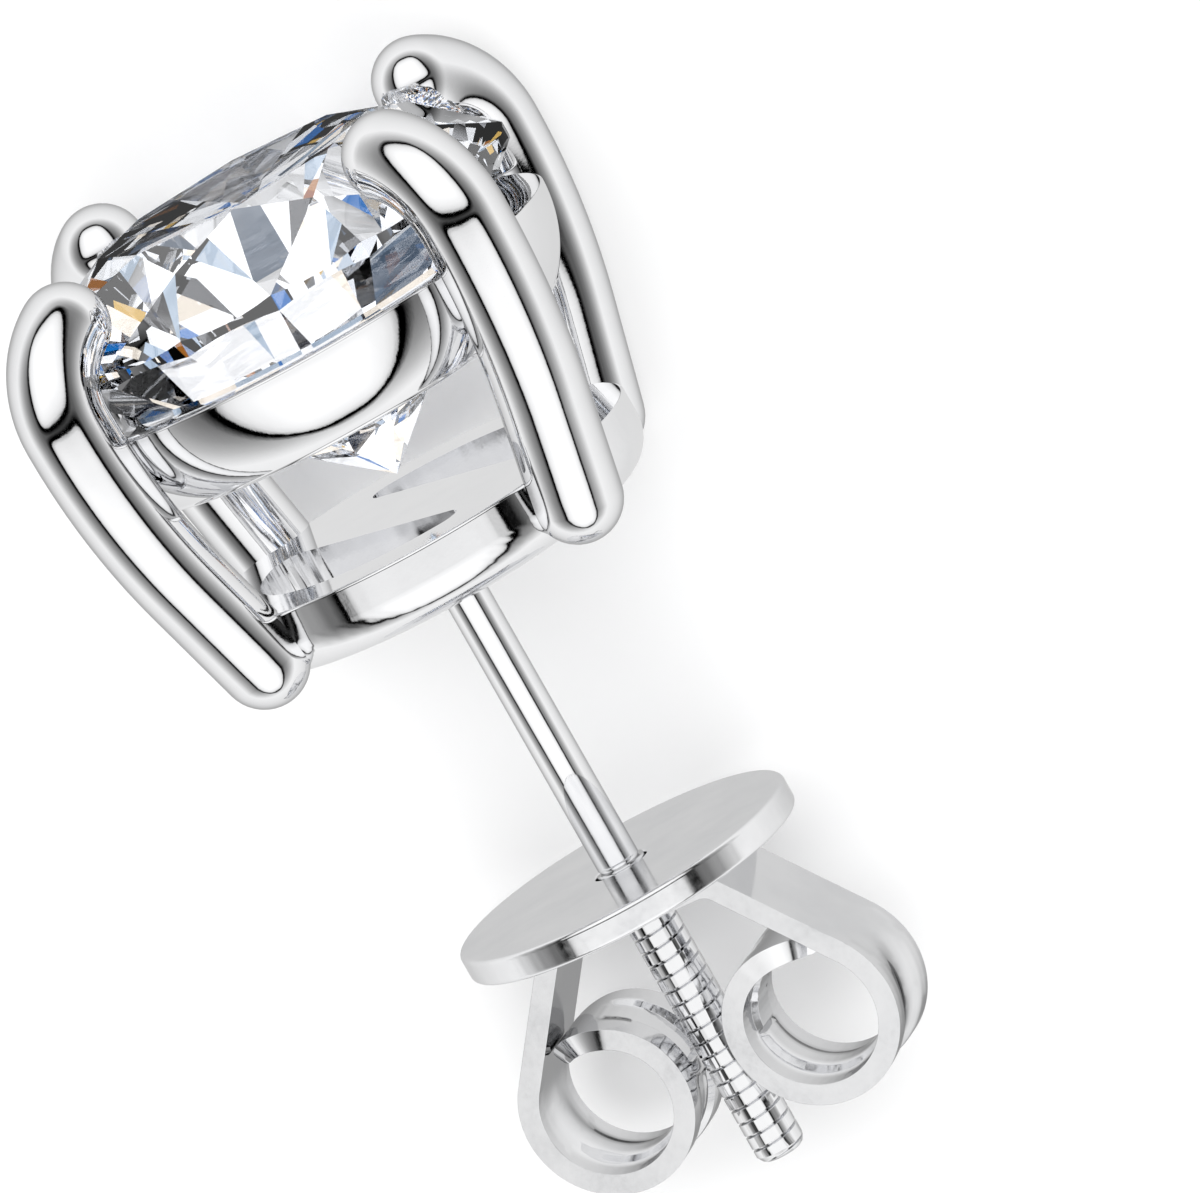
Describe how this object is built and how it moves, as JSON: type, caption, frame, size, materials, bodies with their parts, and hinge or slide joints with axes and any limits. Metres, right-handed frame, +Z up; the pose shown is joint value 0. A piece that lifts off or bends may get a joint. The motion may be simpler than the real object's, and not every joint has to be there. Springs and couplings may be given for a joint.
{
  "type": "screw back stud earring",
  "caption": "Stud earring with a round brilliant stone in a prong basket, a threaded post, and a screw back of a flat disc with a scroll clip.",
  "frame": {"origin": "bottom centre of the whole stud's box as it lies on a surface on two prongs and the disc's rim", "axes": "+X from the stone towards the screw back along the lying post, which dips 7.24 degrees towards its tip; +Z up from the surface; +Y across the stud"},
  "size_m": [0.019, 0.0088, 0.0087],
  "materials": {
    "polished_metal": "rhodium-plated silver, mirror polish",
    "stone": "clear cut stone, polished facets",
    "disc_metal": "rhodium-plated silver, soft polish",
    "clip_metal": "rhodium-plated silver strip, soft polish"
  },
  "bodies": {
    "stud": {"prong_setting": "polished_metal", "stone": "stone"},
    "disc": {"back_disc": "disc_metal"},
    "clip": {"back_clip": "clip_metal"}
  },
  "joints": [
    {"name": "back_travel", "type": "slide", "parent": "stud", "child": "disc", "axis": [0.992, 0, -0.126], "range_m": [0, 0.0055]},
    {"name": "back_turn", "type": "hinge", "parent": "disc", "child": "clip", "pos_m": [0.00425, 0, 0.003], "axis": [0.992, 0, -0.126], "range_deg": [0, 7920]}
  ],
  "couplings": [
    {"joint": "back_turn", "follows": "back_travel", "rad_per_m": 25133}
  ]
}
